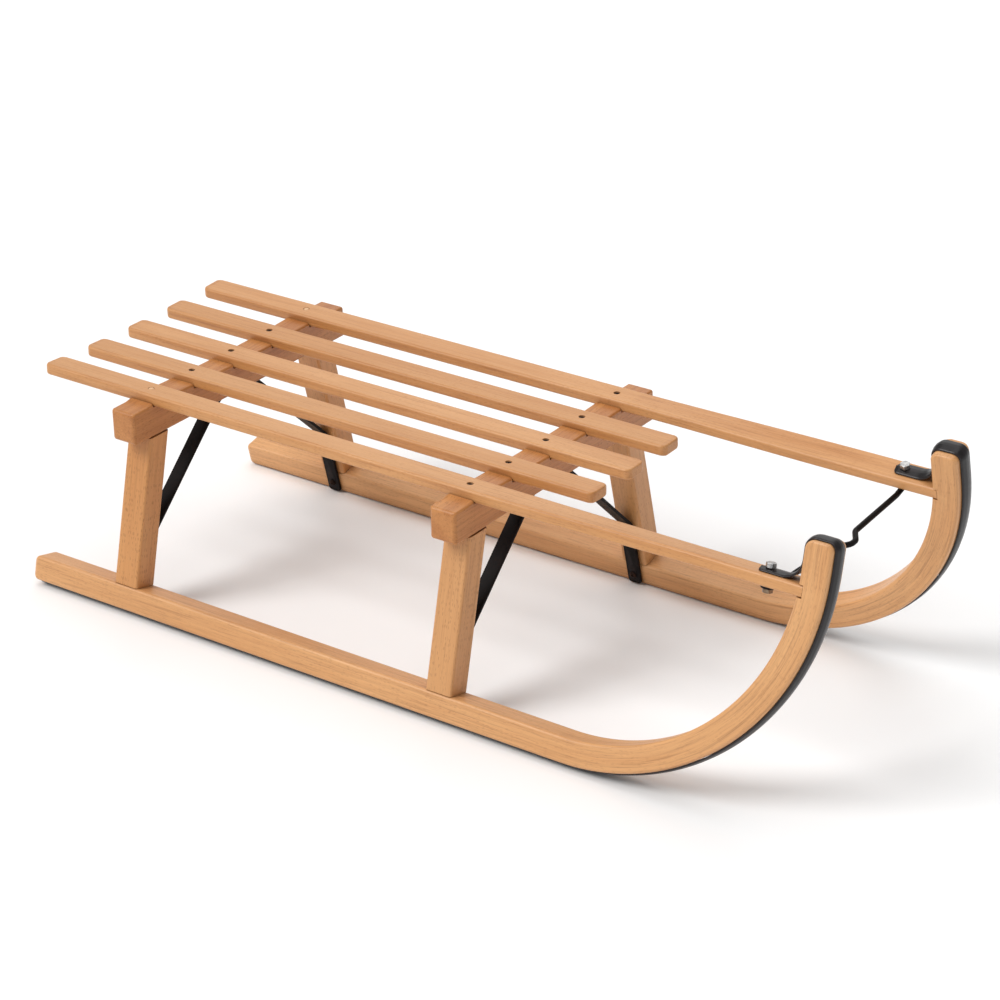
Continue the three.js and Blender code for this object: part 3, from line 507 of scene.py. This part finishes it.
def make_slat(lane):
    outer = abs(lane) == 2
    rings = []

    def lay(x, s=FLAT):
        centre, across, up = slat_frame(lane, x)
        w = SLAT_W / 2 - pull_in(SLAT_CORNER_R, s)
        h = SLAT_T / 2 - pull_in(SLAT_END_R, s)
        ring = []
        for a, b in rounded_rect(-w, w, -h, h, SLAT_EDGE_R):
            p = centre + across * a + up * b
            p.x = x + SHIFT_X
            ring.append(p)
        rings.append(ring)

    front = LAP_X if outer else SLAT_FRONT_X
    ends = end_steps(SLAT_CORNER_R)
    for s in ends:
        lay(SLAT_REAR_X + s, s)
    lay(SLAT_REAR_X + SLAT_CORNER_R)
    if outer:
        for k in range(25):
            lay(TWIST_START_X + (TWIST_END_X - TWIST_START_X) * k / 24)
        lay(front)
    else:
        lay(front - SLAT_CORNER_R)
        for s in reversed(ends):
            lay(front - s, s)
    obj = loft(rings, f"wood_slat_{LANES[lane]}")
    cutters = []
    for end in ENDS:
        plugged = outer and end < 0
        drop = PLUG_DEPTH if plugged else HEAD_RECESS
        p, up = seat_point(lane, end * BEAM_X, -1)
        lip = 0.0 if plugged else 0.2
        bore = HEAD_R + GAP
        cutters.append(turned([(0, 0), (bore + lip, 0), (bore + lip, 1), (bore, 1 + lip), (bore, 1 + drop),
                               (SHANK_R + GAP, 1 + HEAD_CONE + drop), (SHANK_R + GAP, SLAT_T + 3),
                               (0, SLAT_T + 3)], p, -up))
    if outer:
        side = 1 if lane > 0 else -1
        cutters.append(drill(BOLT_HOLE_R, OVERSHOOT, frame_point(side, BOLT_X, LAP_U - OVERSHOOT / 2, SHOE_V),
                             side_up(side)))
    boolean(obj, cutters)
    y0 = lane * SLAT_PITCH * MM
    grain(obj, lambda c: (c.x, c.y - y0, c.z))
    even_normals(obj)
    node = f"slat_{LANES[lane]}"
    light = rgb(*[c + SLAT_WARMTH[lane] for c in SLAT_LIGHT])
    wood = beech(f"beech_{node}", light, SLAT_MID, SLAT_DARK, anywhere(), 0.35, 0.35, 0.5)
    put(obj, "slat_wood", wood, node)


for lane in LANES:
    make_slat(lane)


# ----------------------------------------------------------------- crossbeams
def leg_top_u(v):
    return (SEAT_Z + BEAM_BOTTOM - LEG_TOP_GAP - FRAME_Z + v * SIN_L) / COS_L


def make_beam(end):
    half = BEAM_LEN / 2

    def top_at(y):
        t = smooth((abs(y) - BEAM_STEP_Y) / BEAM_STEP_RUN)
        return SEAT_Z + (BEAM_TOP + hollow_z(y)) * (1 - t) + BEAM_END_TOP * t

    def ring(y, s):
        inset = pull_in(BEAM_END_R, s)
        w = BEAM_W / 2 - inset
        section = rounded_rect(-w, w, SEAT_Z + BEAM_BOTTOM + inset, top_at(y) - inset, BEAM_EDGE_R, 8)
        return [Vector((end * BEAM_X + a + SHIFT_X, y, b)) for a, b in section]

    ends = end_steps(BEAM_END_R)
    rings = [ring(-half + s, s) for s in ends]
    for k in range(-11, 12):
        rings.append(ring(k * BEAM_RING_PITCH, FLAT))
    rings += [ring(half - s, s) for s in reversed(ends)]
    obj = loft(rings, f"wood_crossbeam_{ENDS[end]}")
    cutters = []
    for lane in LANES:
        centre, across, up = slat_frame(lane, end * BEAM_X)
        w, floor_z = SLAT_W / 2 + GAP, -SLAT_T / 2 - GAP
        ends_of = []
        for x in (end * BEAM_X - OVERSHOOT, end * BEAM_X + OVERSHOOT):
            face = []
            for a, b in ((-w, OVERSHOOT), (w, OVERSHOOT), (w, floor_z), (-w, floor_z)):
                p = centre + across * a + up * b
                p.x = x + SHIFT_X
                face.append(p)
            ends_of.append(face)
        cutters.append(block(*ends_of))
    boolean(obj, cutters)
    soften(obj, BEAM_NOTCH_BEVEL, 40)
    x0 = (end * BEAM_X + SHIFT_X) * MM
    grain(obj, lambda c: (c.y, c.x - x0, c.z))
    even_normals(obj)
    wood = beech(f"beech_crossbeam_{ENDS[end]}", BEAM_LIGHT, BEAM_MID, WOOD_DARK, anywhere(), 0.7, 0.4, 0.5)
    put(obj, "beam_wood", wood, f"crossbeam_{ENDS[end]}")


for end in ENDS:
    make_beam(end)


# ----------------------------------------------------------------------- legs
def frame_box(side, x, half_x, half_v, u0, u1):
    """A box on a leg's middle line, from u0 up to u1."""
    v0, v1 = LEG_MID_V - half_v, LEG_MID_V + half_v
    plan = ((-half_x, v0), (half_x, v0), (half_x, v1), (-half_x, v1))
    return block(*[[frame_point(side, x + a, u, v) for a, v in plan] for u in (u0, u1)])


def make_leg(side, end):
    x = end * BEAM_X
    section = rounded_rect(-LEG_X / 2, LEG_X / 2, LEG_V0, LEG_V1, LEG_EDGE_R)
    foot = [frame_point(side, x + a, RUN_H_FOOT + GAP, v) for a, v in section]
    middle = [frame_point(side, x + a, LEG_MID_U, v) for a, v in section]
    head = [frame_point(side, x + a, leg_top_u(v), v) for a, v in section]
    name = f"leg_{ENDS[end]}_{SIDES[side]}"
    obj = loft([foot, middle, head], f"wood_{name}")
    top_u = leg_top_u(LEG_MID_V)
    boolean(obj, [
        frame_box(side, x, TENON_X / 2, TENON_V / 2, RUN_H_FOOT + GAP - TENON_FOOT, RUN_H_FOOT + TENON_ROOT),
        frame_box(side, x, TENON_X / 2, TENON_V / 2, top_u - TENON_ROOT, top_u + TENON_TOP),
    ], "UNION")

    def place(c):
        a = FRAME_Y * MM - side * c.y
        b = c.z - FRAME_Z * MM
        return (a * SIN_L + b * COS_L, c.x - (x + SHIFT_X) * MM, a * COS_L - b * SIN_L)

    grain(obj, place)
    even_normals(obj)
    light, tone = (WOOD_LIGHT, WOOD_MID) if end > 0 else (LEG_REAR_LIGHT, LEG_REAR_MID)
    wood = beech(f"beech_{name}", light, tone, WOOD_DARK, anywhere(), 1.0, 0.35, 0.45)
    put(obj, "leg_wood", wood, name)


for side in SIDES:
    for end in ENDS:
        make_leg(side, end)


# -------------------------------------------------------------------- runners
GRAIN_BEND_R = 0.208    # the bend's middle line, in m, along which its grain is measured


def make_runner(side):
    rings = []

    def lay(x, u, nx, nu, h, edge_r=RUN_EDGE_R, s=FLAT):
        """Adds a section whose height h runs from (x, u) along (nx, nu)."""
        end, v = pull_in(RUN_END_R, s), pull_in(RUN_END_SIDE_R, s)
        section = rounded_rect(end, h - end, v, RUN_W - v, edge_r)
        rings.append([frame_point(side, x + nx * a, u + nu * a, w) for a, w in section])

    for s in end_steps(RUN_END_R):
        lay(RUN_REAR_X + s, 0, 0, 1, RUN_H_FOOT, s=s)
    foot_x = RUN_REAR_X + RUN_END_R
    for k in range(13):
        lay(foot_x + (BEND_X - 10 - foot_x) * k / 12, 0, 0, 1, RUN_H_FOOT)
    for k in range(73):
        t = k / 72 * math.pi / 2
        h = RUN_H_FOOT + (RUN_H_TIP - RUN_H_FOOT) * k / 72
        edge_r = RUN_EDGE_R + (TIP_EDGE_R - RUN_EDGE_R) * k / 72
        x, u = BEND_X + BEND_R * math.sin(t), BEND_R * (1 - math.cos(t))
        lay(x, u, -math.sin(t), math.cos(t), h, edge_r)
    tip = BEND_X + BEND_R
    lay(tip, TIP_U - TIP_BACK_R - 6, -1, 0, RUN_H_TIP, TIP_EDGE_R)
    for s in reversed(end_steps(TIP_BACK_R, 10)):
        front, back, v = pull_in(TIP_FRONT_R, s), RUN_H_TIP - pull_in(TIP_BACK_R, s), pull_in(TIP_SIDE_R, s)
        section = rounded_rect(front, back, v, RUN_W - v, TIP_EDGE_R)
        rings.append([frame_point(side, tip - a, TIP_U - s, w) for a, w in section])
    name = f"runner_{SIDES[side]}"
    obj = loft(rings, f"wood_{name}")
    half = SLAT_T / 2 + GAP
    back, ahead = tip - RUN_H_TIP - 6, LAP_X + GAP
    plan = ((back, -4), (ahead, -4), (ahead, RUN_W + 4), (back, RUN_W + 4))
    cutters = [block(*[[frame_point(side, a, u, v) for a, v in plan] for u in (LAP_U - half, LAP_U + half)])]
    for end in ENDS:
        cutters.append(frame_box(side, end * BEAM_X, TENON_X / 2 + GAP, TENON_V / 2 + GAP,
                                 RUN_H_FOOT - TENON_FOOT, RUN_H_FOOT + 5))
    boolean(obj, cutters)

    def place(c):
        a = FRAME_Y * MM - side * c.y
        b = c.z - FRAME_Z * MM
        u, v = a * SIN_L + b * COS_L, a * COS_L - b * SIN_L
        dx = c.x - (SHIFT_X + BEND_X) * MM
        du = BEND_R * MM - u
        px, pu = max(dx, 0.0), max(du, 0.0)
        turn = math.atan2(px, pu) if px or pu else math.pi / 2
        along = min(dx, 0.0) + GRAIN_BEND_R * turn + max(-du, 0.0)
        return (along, BEND_R * MM - math.hypot(px, pu), v)

    grain(obj, place)
    even_normals(obj)
    wood = beech(f"beech_{name}", RUN_LIGHT, RUN_MID, WOOD_DARK, anywhere(), 0.3, 0.5, 0.6)
    put(obj, "runner_wood", wood, name)


for side in SIDES:
    make_runner(side)


# ---------------------------------------------------------------- flat paths
def fillet_path(corners, step):
    """Rounds each (point, radius) corner of a path."""
    out = [corners[0][0].copy()]
    for (before, _), (corner, r), (after, _) in zip(corners, corners[1:], corners[2:]):
        a = (before - corner).normalized()
        b = (after - corner).normalized()
        half = a.angle(b) / 2
        centre = corner + (a + b).normalized() * (r / math.sin(half))
        start_at = corner + a * (r / math.tan(half)) - centre
        end_at = corner + b * (r / math.tan(half)) - centre
        sweep = start_at.angle(end_at)
        parts = max(2, math.ceil(sweep / step))
        for k in range(parts + 1):
            t = k / parts
            out.append(centre + start_at * (math.sin((1 - t) * sweep) / math.sin(sweep))
                       + end_at * (math.sin(t * sweep) / math.sin(sweep)))
    out.append(corners[-1][0].copy())
    return out


def swept_bar(path, section, place, name, end_r=0.0, start_r=0.0):
    """Sweeps (w, n) section points along a plane path; the ends can be rounded in plan."""
    stations = []
    for i, p in enumerate(path):
        before = path[max(0, i - 1)]
        after = path[min(len(path) - 1, i + 1)]
        if i == 0:
            tangent = (after - p).normalized()
        elif i == len(path) - 1:
            tangent = (p - before).normalized()
        else:
            tangent = ((p - before).normalized() + (after - p).normalized()).normalized()
        stations.append((p, tangent, FLAT, 0.0))
    if end_r > 0:
        p, tangent, _, _ = stations.pop()
        for s in reversed(end_steps(end_r, 8)):
            stations.append((p - tangent * s, tangent, s, end_r))
    if start_r > 0:
        p, tangent, _, _ = stations.pop(0)
        stations = [(p + tangent * s, tangent, s, start_r) for s in end_steps(start_r, 8)] + stations
    rings = []
    for p, tangent, s, r in stations:
        ring = []
        for w, n in section:
            across = math.copysign(max(0.3, abs(w) - pull_in(r, s)), w)
            ring.append(place(p.x - tangent.y * n, p.y + tangent.x * n, across))
        rings.append(ring)
    return loft(rings, name)


# ---------------------------------------------------------------------- shoes
shoe_off = GAP + SHOE_T / 2
tip_face = BEND_X + BEND_R + shoe_off
back_face = BEND_X + BEND_R - RUN_H_TIP - shoe_off
tongue_u = LAP_U + SLAT_T / 2 + shoe_off
shoe_path = [Vector((SHOE_REAR_X + k * (BEND_X - 6 - SHOE_REAR_X) / 10, -shoe_off, 0)) for k in range(11)]
for k in range(65):
    t = k / 64 * math.pi / 2
    r = BEND_R + shoe_off
    shoe_path.append(Vector((BEND_X + r * math.sin(t), BEND_R - r * math.cos(t), 0)))
shoe_path += fillet_path([
    (Vector((tip_face, BEND_R + 4, 0)), 0),
    (Vector((tip_face, TIP_U + shoe_off, 0)), TIP_FRONT_R + shoe_off),
    (Vector((back_face, TIP_U + shoe_off, 0)), TIP_BACK_R + shoe_off),
    (Vector((back_face, tongue_u, 0)), TONGUE_BEND_R),
    (Vector((TONGUE_X, tongue_u, 0)), 0),
], 0.1)


def shoe_section():
    """The strap's crown, rounded where its flat land meets its shoulders and sides."""
    drop = (SHOE_SHOULDER - SHOE_LAND) * math.tan(LEAN)
    key = [(SHOE_LAND * 0.6, 0.0), (SHOE_LAND, 0.06), (SHOE_LAND + 1.2, drop * 0.32),
           (SHOE_SHOULDER - 0.9, drop * 0.78), (SHOE_SHOULDER, drop + 0.04),
           (SHOE_SHOULDER + 0.6, drop + 0.38), (SHOE_HALF_W - 0.12, drop + 0.8), (SHOE_HALF_W, drop + 1.15),
           (SHOE_HALF_W, SHOE_T - 0.25), (SHOE_HALF_W - 0.25, SHOE_T)]
    half = [(w, n - SHOE_T / 2) for w, n in key]
    return half + [(-w, n) for w, n in reversed(half)]


# radius and height along each screw, from the crown of its head
SHOE_SCREW_COUNTERSINK = [(0, 0), (3.4, 0), (3.4, 1), (2, 2.6), (2, 6), (0, 6)]
SHOE_SCREW = [(0, 0), (2.6, 0), (2.86, 0.1), (2.9, 0.3), (1.5, 1.9), (1.5, 11), (0.3, 14), (0, 14)]


def make_shoe(side):
    name = f"shoe_{SIDES[side]}"
    obj = swept_bar(shoe_path, shoe_section(), lambda x, u, w: frame_point(side, x, u, SHOE_V + w),
                    f"steel_{name}", TONGUE_R)
    up = side_up(side)
    cutters = [turned(SHOE_SCREW_COUNTERSINK, frame_point(side, x, -GAP - SHOE_T - 0.6, SHOE_V), up)
               for x in SHOE_SCREWS]
    cutters.append(drill(BOLT_HOLE_R, 12, frame_point(side, BOLT_X, tongue_u - 6, SHOE_V), up))
    boolean(obj, cutters)
    even_normals(obj)
    put(obj, "black_steel", steel_shoe, name)
    for i, x in enumerate(SHOE_SCREWS):
        base = frame_point(side, x, -GAP - SHOE_T + 0.25, SHOE_V)
        head = turned(SHOE_SCREW, base, up, f"screw_sole_{SIDES[side]}_{i + 1}")
        cross_recess(head, base, up, 3.4, 0.75, 1.0)
        put(head, "zinc", bright, f"shoe_screw_{SIDES[side]}_{i + 1}")


for side in SIDES:
    make_shoe(side)


# --------------------------------------------------------- slat screws, plugs
for end in ENDS:
    for lane in LANES:
        plugged = abs(lane) == 2 and end < 0
        drop = PLUG_DEPTH if plugged else HEAD_RECESS
        p, up = seat_point(lane, end * BEAM_X, drop)
        tail = SLAT_SCREW_LEN - drop
        name = f"{ENDS[end]}_{LANES[lane]}"
        screw = turned([(0, 0), (HEAD_R - 0.3, 0), (HEAD_R - 0.07, 0.1), (HEAD_R, 0.3), (SHANK_R, HEAD_CONE),
                        (SHANK_R, tail - 3), (0.3, tail), (0, tail)], p, -up, f"screw_seat_{name}")
        cross_recess(screw, p, -up, 3.2, 0.75, 1.1)
        put(screw, "black_steel", screw_steel, f"slat_screw_{name}")
        if plugged:
            h = PLUG_DEPTH - PLUG_RECESS
            base, up = seat_point(lane, end * BEAM_X, h)
            plug = turned([(0, 0), (HEAD_R, 0), (HEAD_R, h - 0.6), (HEAD_R - 0.15, h - 0.25),
                           (HEAD_R - 0.5, h), (0, h)], base, up, f"wood_plug_{name}")
            grain(plug, lambda c: (c.z, c.x, c.y))
            wood = beech(f"beech_plug_{LANES[lane]}", PLUG_LIGHT, PLUG_MID, SLAT_DARK, anywhere(),
                         0.3, 0.2, 0.3)
            put(plug, "plug_wood", wood, f"slat_plug_{name}")


# --------------------------------------------------------------------- braces
brace_v = RUN_W + GAP + BRACE_T / 2
brace_head_z = SEAT_Z + BEAM_BOTTOM - GAP - BRACE_T / 2
foot, knee = frame_point(1, 0, BRACE_FOOT_U, brace_v), frame_point(1, 0, BRACE_KNEE_U, brace_v)
brace_path = fillet_path([
    (Vector((foot.y, foot.z, 0)), 0),
    (Vector((knee.y, knee.z, 0)), BRACE_KNEE_R),
    (Vector((BRACE_HEAD_Y, brace_head_z, 0)), BRACE_HEAD_R),
    (Vector((BRACE_TIP_Y, brace_head_z, 0)), 0),
], 0.06)
# a domed head, radius and height from its crown
DOME = [(0, 0), (0.9, 0.03), (1.7, 0.16), (2.5, 0.5), (3.1, 1.0), (3.42, 1.6), (3.5, 2.05), (3.4, 2.3),
        (1.5, 2.3)]


def make_brace(side, end):
    x = end * BEAM_X
    name = f"{ENDS[end]}_{SIDES[side]}"
    section = rounded_rect(-BRACE_W / 2, BRACE_W / 2, -BRACE_T / 2, BRACE_T / 2, BRACE_EDGE_R, 4)
    obj = swept_bar(brace_path, section, lambda y, z, w: Vector((x + w + SHIFT_X, side * y, z)),
                    f"steel_brace_{name}", BRACE_END_R, BRACE_END_R)
    inward = Vector((0, -side * COS_L, -SIN_L))
    sky = Vector((0, 0, 1))
    outside = RUN_W + GAP + BRACE_T
    head = Vector((x + SHIFT_X, side * BRACE_HEAD_SCREW_Y, brace_head_z - BRACE_T / 2))
    boolean(obj, [drill(BRACE_HOLE_R, 6, frame_point(side, x, BRACE_FOOT_SCREW_U, outside + 1), -inward),
                  drill(BRACE_HOLE_R, 6, head - sky, sky)])
    even_normals(obj)
    put(obj, "black_steel", steel, f"brace_{name}")
    base = frame_point(side, x, BRACE_FOOT_SCREW_U, outside + DOME_H)
    screw = turned(DOME + [(1.5, 10), (0, 11)], base, -inward, f"screw_brace_foot_{name}")
    cross_recess(screw, base, -inward, 3.8, 0.85, 1.2)
    put(screw, "black_steel", screw_steel, f"brace_foot_screw_{name}")
    base = head - sky * DOME_H
    screw = turned(DOME + [(1.5, 18), (0, 20)], base, sky, f"screw_brace_head_{name}")
    cross_recess(screw, base, sky, 3.8, 0.85, 1.2)
    put(screw, "black_steel", screw_steel, f"brace_head_screw_{name}")


for side in SIDES:
    for end in ENDS:
        make_brace(side, end)


# ------------------------------------------------------------------- pull rod
eye_u = LAP_U - SLAT_T / 2 - GAP - EYE_T / 2


def rod_half(side):
    eye = frame_point(side, 0, eye_u - 0.9, SHOE_V + 5)
    low = frame_point(side, 0, eye_u - 1.3, RUN_W + 4)
    return [(Vector((BOLT_X, eye.y, eye.z)), 0), (Vector((BOLT_X, low.y, low.z)), ROD_BEND_R),
            (Vector((ROD_X, side * ROD_KINK_IN_Y, low.z)), ROD_KINK_IN_R),
            (Vector((ROD_KINK_X, side * ROD_KINK_OUT_Y, low.z)), ROD_BEND_R)]


def make_rod():
    path = fillet_path(rod_half(-1) + rod_half(1)[::-1], 0.12)
    rings = []
    for i, p in enumerate(path):
        tangent = (path[min(len(path) - 1, i + 1)] - path[max(0, i - 1)]).normalized()
        across = Vector((0, 0, 1)).cross(tangent).normalized()
        over = tangent.cross(across)
        ring = []
        for k in range(24):
            t = 2 * math.pi * k / 24
            q = p + across * (ROD_R * math.cos(t)) + over * (ROD_R * math.sin(t))
            ring.append(Vector((q.x + SHIFT_X, q.y, q.z)))
        rings.append(ring)
    obj = loft(rings, "steel_pull_rod")
    eyes = []
    for side in SIDES:
        eyes.append(turned([(0, 0), (EYE_R - 0.8, 0), (EYE_R - 0.3, 0.15), (EYE_R, 0.6), (EYE_R, EYE_T - 0.6),
                            (EYE_R - 0.3, EYE_T - 0.15), (EYE_R - 0.8, EYE_T), (0, EYE_T)],
                           frame_point(side, BOLT_X, eye_u - EYE_T / 2, SHOE_V), side_up(side)))
    boolean(obj, eyes, "UNION")
    boolean(obj, [drill(BOLT_HOLE_R, 20, frame_point(side, BOLT_X, eye_u - 10, SHOE_V), side_up(side))
                  for side in SIDES])
    even_normals(obj)
    put(obj, "black_steel", steel, "pull_rod")


make_rod()


# ------------------------------------------------------------- bolts and nuts
def hex_body(side, u0, u1, across, name):
    """A hexagon whose corners are turned off top and bottom, as on a forged head."""
    r = across / math.sqrt(3)
    at = frame_point(side, BOLT_X, 0, SHOE_V)
    up = side_up(side)
    levels = [[], []]
    for k in range(6):
        t = k * math.pi / 3 + HEX_TURN
        for level, u in zip(levels, (u0, u1)):
            level.append(frame_point(side, BOLT_X + r * math.cos(t), u, SHOE_V + r * math.sin(t)))
    obj = block(*levels, name)
    flat = across / 2
    h = u1 - u0
    cup = turned([(0, 0), (flat - 0.2, 0), (r + 0.05, (r - flat) * 0.62), (r + 0.05, h - (r - flat) * 0.62),
                  (flat - 0.2, h), (0, h)], at + up * u0, up, segments=48)
    boolean(obj, [cup], "INTERSECT")
    soften(obj, HEX_BEVEL, 25)
    return obj


head_u = tongue_u + SHOE_T / 2 + GAP
nut_u = eye_u - EYE_T / 2 - GAP
end_u = nut_u - NUT_T - THREAD_SHOW
for side in SIDES:
    up = side_up(side)
    bolt = hex_body(side, head_u, head_u + BOLT_HEAD, BOLT_AF, f"bolt_tip_{SIDES[side]}")
    length = head_u + 2 - end_u
    shank = turned([(0, 0), (BOLT_R - 0.5, 0), (BOLT_R, 0.6), (BOLT_R, length), (0, length)],
                   frame_point(side, BOLT_X, end_u, SHOE_V), up)
    boolean(bolt, [shank], "UNION")
    even_normals(bolt)
    put(bolt, "zinc", bright, f"tip_bolt_{SIDES[side]}")
    nut = hex_body(side, nut_u - NUT_T, nut_u, NUT_AF, f"nut_tip_{SIDES[side]}")
    boolean(nut, [drill(BOLT_R + GAP, 12, frame_point(side, BOLT_X, nut_u - 9, SHOE_V), up)])
    even_normals(nut)
    put(nut, "zinc", dull, f"tip_nut_{SIDES[side]}")


# -------------------------------------------------------------- floor, lights
FLOOR_REACH, FLOOR_CLEARANCE = 60.0, 0.0001    # in m; just clear of the soles
FLOOR_SHADE, SKY_STRENGTH = 0.93, 0.42
floor_mesh = bpy.data.meshes.new("floor")
reach, low = FLOOR_REACH, -FLOOR_CLEARANCE
floor_mesh.from_pydata([(-reach, -reach, low), (reach, -reach, low), (reach, reach, low),
                        (-reach, reach, low)], [], [(0, 1, 2, 3)])
floor = bpy.data.objects.new("floor", floor_mesh)
bpy.context.scene.collection.objects.link(floor)
pale, _, pale_shader = start("pale_floor")
pale_shader.inputs["Base Color"].default_value = (FLOOR_SHADE, FLOOR_SHADE, FLOOR_SHADE, 1)
pale_shader.inputs["Roughness"].default_value = 0.85
pale_shader.inputs["Specular IOR Level"].default_value = 0.1
floor.data.materials.append(pale)


def soft_sun(name, towards, strength, spread):
    """A broad parallel light, spread in degrees; towards points from the sled to the light."""
    data = bpy.data.lights.new(name, "SUN")
    data.energy = strength
    data.angle = math.radians(spread)
    lamp = bpy.data.objects.new(name, data)
    lamp.rotation_euler = Vector(towards).to_track_quat("Z", "Y").to_euler()
    bpy.context.scene.collection.objects.link(lamp)


soft_sun("key", (-1.3, -1.9, 2.5), 1.82, 28)
soft_sun("top", (-0.2, 0.4, 2.9), 0.88, 50)
soft_sun("rim", (-1.2, 2.4, 1.7), 0.36, 40)

world = bpy.data.worlds.new("studio")
bpy.context.scene.world = world
world.use_nodes = True
world.node_tree.nodes["Background"].inputs[0].default_value = (1, 1, 1, 1)
world.node_tree.nodes["Background"].inputs[1].default_value = SKY_STRENGTH

bpy.context.scene.view_settings.view_transform = "Standard"
bpy.context.scene.view_settings.look = "None"

# --------------------------------------------------------------------- camera
AZ, EL, ROLL = math.radians(35.952), math.radians(26.139), math.radians(-1.041)
SENSOR, FOCAL_RATIO, DISTANCE = 36, 3.0277, 2.6715    # mm; focal length over sensor; m
AIM_X, AIM_BELOW_SEAT = 126.9, 74.55
target = Vector((AIM_X + SHIFT_X, 0, SEAT_Z - AIM_BELOW_SEAT)) * MM
right = Vector((math.cos(AZ), math.sin(AZ), 0))
back = Vector((math.sin(AZ) * math.cos(EL), -math.cos(AZ) * math.cos(EL), math.sin(EL)))
over = back.cross(right)
right, over = (right * math.cos(ROLL) + over * math.sin(ROLL),
               over * math.cos(ROLL) - right * math.sin(ROLL))
camera_data = bpy.data.cameras.new("camera")
camera_data.sensor_width = SENSOR
camera_data.lens = SENSOR * FOCAL_RATIO
camera_data.clip_end = 300
camera = bpy.data.objects.new("camera", camera_data)
camera.matrix_world = Matrix((right, over, back)).transposed().to_4x4()
camera.location = target + back * DISTANCE
bpy.context.scene.collection.objects.link(camera)
bpy.context.scene.camera = camera
